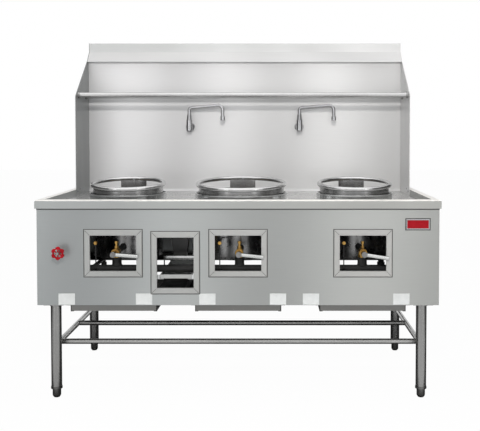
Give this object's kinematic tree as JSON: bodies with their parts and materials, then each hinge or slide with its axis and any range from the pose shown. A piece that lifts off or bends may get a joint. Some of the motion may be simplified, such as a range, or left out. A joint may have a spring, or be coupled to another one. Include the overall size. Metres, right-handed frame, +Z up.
{
  "type": "wok range",
  "caption": "Stainless wok range on tube legs: sunk deck with leaning wok rings, splash back with flue and pipe shelf, swing faucets, lever gas valves and slide-out drip pans.",
  "frame": {"origin": "on the floor under the centre of the whole part, its handwheel and levers included", "axes": "+X to the cook's right along the front, +Y from the cook to the flue, +Z up"},
  "size_m": [1.829, 1.095, 1.714],
  "materials": {
    "red_enamel": "glossy red enamel with worn edges",
    "badge_red": "red enamelled plate with a bright edge",
    "brass_fitting": "cast and turned brass, slightly tarnished",
    "black_iron": "black iron pipe and painted angle",
    "bronze_valve": "dull bronze",
    "refractory": "sintered refractory",
    "chamber_steel": "heat-dulled sheet steel",
    "chrome_plate": "polished chrome plate",
    "lever_steel": "satin turned steel",
    "ring_steel": "rolled stainless with a satin polish",
    "tube_steel": "drawn stainless tube, satin",
    "panel_steel": "number four brushed stainless sheet"
  },
  "bodies": {
    "frame": {"access_trim_left": "panel_steel", "access_trim_middle": "panel_steel", "access_trim_right": "panel_steel", "back_wall": "panel_steel", "badge": "badge_red", "base_frame": "black_iron", "burner_chambers": "chamber_steel", "cabinet_rear_panel": "panel_steel", "deck_top": "panel_steel", "faucet_body_left": "chrome_plate", "faucet_body_right": "chrome_plate", "fire_liners": "refractory", "flue_back": "panel_steel", "flue_cap": "panel_steel", "flue_ducts": "chamber_steel", "front_panel": "panel_steel", "gas_manifold": "black_iron", "gas_valve_left": "brass_fitting", "gas_valve_middle": "brass_fitting", "gas_valve_right": "brass_fitting", "jet_burners": "black_iron", "legs": "tube_steel", "pan_runners": "black_iron", "pilot_valves": "brass_fitting", "ring_collar_left": "ring_steel", "ring_collar_middle": "ring_steel", "ring_collar_right": "ring_steel", "shelf_sockets": "tube_steel", "shelf_tube_front": "tube_steel", "shelf_tube_rear": "tube_steel", "side_panel_left": "panel_steel", "side_panel_right": "panel_steel", "splash_screws": "panel_steel", "splash_side_left": "panel_steel", "splash_side_right": "panel_steel", "stretchers": "tube_steel", "sump": "chamber_steel", "supply_pipes": "black_iron", "tray_rails": "chamber_steel", "waste_bay_trim": "panel_steel", "water_valve": "bronze_valve"},
    "pan_left": {"drip_pan_left": "panel_steel"},
    "pan_middle": {"drip_pan_middle": "panel_steel"},
    "pan_right": {"drip_pan_right": "panel_steel"},
    "levelling_foot_front_left": {"foot_front_left": "tube_steel"},
    "levelling_foot_front_right": {"foot_front_right": "tube_steel"},
    "levelling_foot_rear_left": {"foot_rear_left": "tube_steel"},
    "levelling_foot_rear_right": {"foot_rear_right": "tube_steel"},
    "water_handwheel": {"handwheel": "red_enamel"},
    "tray": {"scrap_tray": "panel_steel"},
    "strainer": {"strainer_basket": "panel_steel"},
    "spout_left": {"swing_spout_left": "chrome_plate"},
    "spout_right": {"swing_spout_right": "chrome_plate"},
    "lever_left": {"valve_lever_left": "lever_steel"},
    "lever_middle": {"valve_lever_middle": "lever_steel"},
    "lever_right": {"valve_lever_right": "lever_steel"},
    "ring_left": {"wok_ring_left": "ring_steel"},
    "ring_middle": {"wok_ring_middle": "ring_steel"},
    "ring_right": {"wok_ring_right": "ring_steel"}
  },
  "joints": [
    {"name": "lever_left_turn", "type": "hinge", "parent": "frame", "child": "lever_left", "pos_m": [-0.559, -0.5085, 0.671], "axis": [0, 1, 0], "range_deg": [-4.5, 85.5]},
    {"name": "ring_left_lift", "type": "slide", "parent": "frame", "child": "ring_left", "axis": [0, 0, 1], "range_m": [0, 0.15]},
    {"name": "pan_left_slide", "type": "slide", "parent": "frame", "child": "pan_left", "axis": [0, -1, 0], "range_m": [0, 0.5]},
    {"name": "lever_middle_turn", "type": "hinge", "parent": "frame", "child": "lever_middle", "pos_m": [0.004, -0.5085, 0.671], "axis": [0, 1, 0], "range_deg": [-6.5, 83.5]},
    {"name": "ring_middle_lift", "type": "slide", "parent": "frame", "child": "ring_middle", "axis": [0, 0, 1], "range_m": [0, 0.15]},
    {"name": "pan_middle_slide", "type": "slide", "parent": "frame", "child": "pan_middle", "axis": [0, -1, 0], "range_m": [0, 0.5]},
    {"name": "lever_right_turn", "type": "hinge", "parent": "frame", "child": "lever_right", "pos_m": [0.567, -0.5085, 0.671], "axis": [0, 1, 0], "range_deg": [-9, 81]},
    {"name": "ring_right_lift", "type": "slide", "parent": "frame", "child": "ring_right", "axis": [0, 0, 1], "range_m": [0, 0.15]},
    {"name": "pan_right_slide", "type": "slide", "parent": "frame", "child": "pan_right", "axis": [0, -1, 0], "range_m": [0, 0.5]},
    {"name": "handwheel_turn", "type": "hinge", "parent": "frame", "child": "water_handwheel", "pos_m": [-0.799, -0.5135, 0.681], "axis": [0, 1, 0], "continuous": true},
    {"name": "spout_left_swing", "type": "hinge", "parent": "frame", "child": "spout_left", "pos_m": [-0.305, 0.3615, 1.349], "axis": [0, 0, 1], "range_deg": [-170, 10]},
    {"name": "spout_right_swing", "type": "hinge", "parent": "frame", "child": "spout_right", "pos_m": [0.305, 0.3615, 1.349], "axis": [0, 0, 1], "range_deg": [-170, 10]},
    {"name": "strainer_lift", "type": "slide", "parent": "frame", "child": "strainer", "axis": [0, 0, 1], "range_m": [0, 0.12]},
    {"name": "tray_slide", "type": "slide", "parent": "frame", "child": "tray", "axis": [0, -1, 0], "range_m": [0, 0.3]},
    {"name": "foot_front_left_level", "type": "slide", "parent": "frame", "child": "levelling_foot_front_left", "axis": [0, 0, -1], "range_m": [0, 0.025]},
    {"name": "foot_front_right_level", "type": "slide", "parent": "frame", "child": "levelling_foot_front_right", "axis": [0, 0, -1], "range_m": [0, 0.025]},
    {"name": "foot_rear_left_level", "type": "slide", "parent": "frame", "child": "levelling_foot_rear_left", "axis": [0, 0, -1], "range_m": [0, 0.025]},
    {"name": "foot_rear_right_level", "type": "slide", "parent": "frame", "child": "levelling_foot_rear_right", "axis": [0, 0, -1], "range_m": [0, 0.025]}
  ]
}
